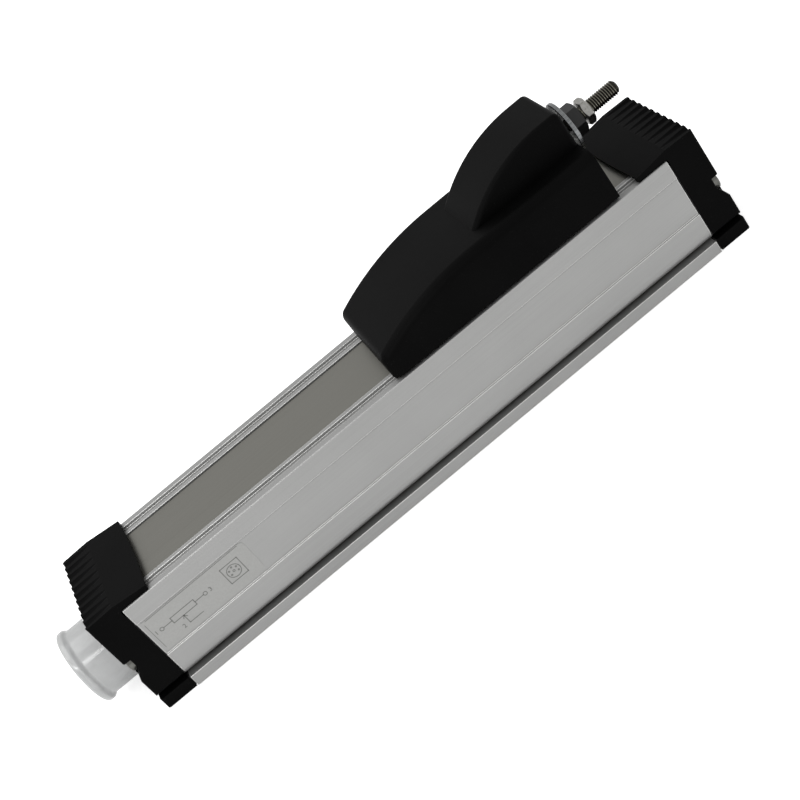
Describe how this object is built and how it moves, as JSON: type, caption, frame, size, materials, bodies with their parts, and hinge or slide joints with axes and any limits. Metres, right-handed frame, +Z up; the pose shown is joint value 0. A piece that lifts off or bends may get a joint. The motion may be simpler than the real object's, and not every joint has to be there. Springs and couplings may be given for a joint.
{
  "type": "linear potentiometer",
  "caption": "Linear displacement sensor: extruded housing with a steel cover band, hooded end caps, a guided slider with a ball joint stud, and a capped round connector.",
  "frame": {"origin": "centre of the housing's flat base, on the surface that it rests on", "axes": "+X along the stroke away from the connector, +Y across the housing, +Z up from the base to the slider"},
  "size_m": [0.2458, 0.0432, 0.0683],
  "materials": {
    "anodised_aluminium": "natural anodised, satin",
    "band_steel": "rolled spring steel strip",
    "black_plastic": "fine moulded grain",
    "rubber": "plain",
    "bright_steel": "zinc plated",
    "board_laminate": "glass fibre laminate",
    "track_print": "conductive plastic print",
    "contact_brass": "plated contact metal",
    "wire_insulation": "extruded insulation",
    "nickel_plate": "nickel plated brass",
    "label_film": "printed film",
    "clear_polyethylene": "translucent moulded polyethylene",
    "bearing_plastic": "machined acetal",
    "black_steel": "black oxide"
  },
  "bodies": {
    "housing": {"profile": "anodised_aluminium", "cover_band": "band_steel", "left_cap": "black_plastic", "right_cap": "black_plastic", "left_gasket": "rubber", "right_gasket": "rubber", "left_cap_screws": "bright_steel", "right_cap_screws": "bright_steel", "left_band_anchor": "bright_steel", "right_band_anchor": "bright_steel", "left_band_clamp": "band_steel", "right_band_clamp": "band_steel", "band_clamp_screws": "bright_steel", "track_board": "board_laminate", "resistive_track": "track_print", "collector_track": "track_print", "track_terminals": "contact_brass", "lead_wires": "wire_insulation", "connector_shell": "nickel_plate", "connector_insert": "black_plastic", "connector_pins": "contact_brass", "connector_nut": "nickel_plate", "connector_oring": "rubber", "wiring_label": "label_film"},
    "slider": {"slider_shell": "black_plastic", "slider_base": "black_plastic", "guide_shoes": "bearing_plastic", "slider_screws": "bright_steel", "drag_blades": "band_steel", "wiper_carrier": "bearing_plastic", "track_wiper": "contact_brass", "collector_wiper": "contact_brass", "socket_insert": "bright_steel", "socket_ring": "bright_steel"},
    "ball_cup": {"ball_cup": "bearing_plastic"},
    "ball_stud": {"ball_stud": "bright_steel", "stud_disc": "bright_steel", "black_nut": "black_steel", "lock_nut": "bright_steel"},
    "dust_cap": {"dust_cap": "clear_polyethylene"}
  },
  "joints": [
    {"name": "slider_travel", "type": "slide", "parent": "housing", "child": "slider", "axis": [1, 0, 0], "range_m": [-0.0942, 0.0058]},
    {"name": "stud_pan", "type": "hinge", "parent": "slider", "child": "ball_cup", "pos_m": [0.081, 0, 0.0565], "axis": [0, 0, 1], "range_deg": [-6, 6]},
    {"name": "stud_tilt", "type": "hinge", "parent": "ball_cup", "child": "ball_stud", "pos_m": [0.081, 0, 0.0565], "axis": [0, 1, 0], "range_deg": [-6, 6]},
    {"name": "dust_cap_pull", "type": "slide", "parent": "housing", "child": "dust_cap", "axis": [-1, 0, 0], "range_m": [0, 0.028]}
  ]
}
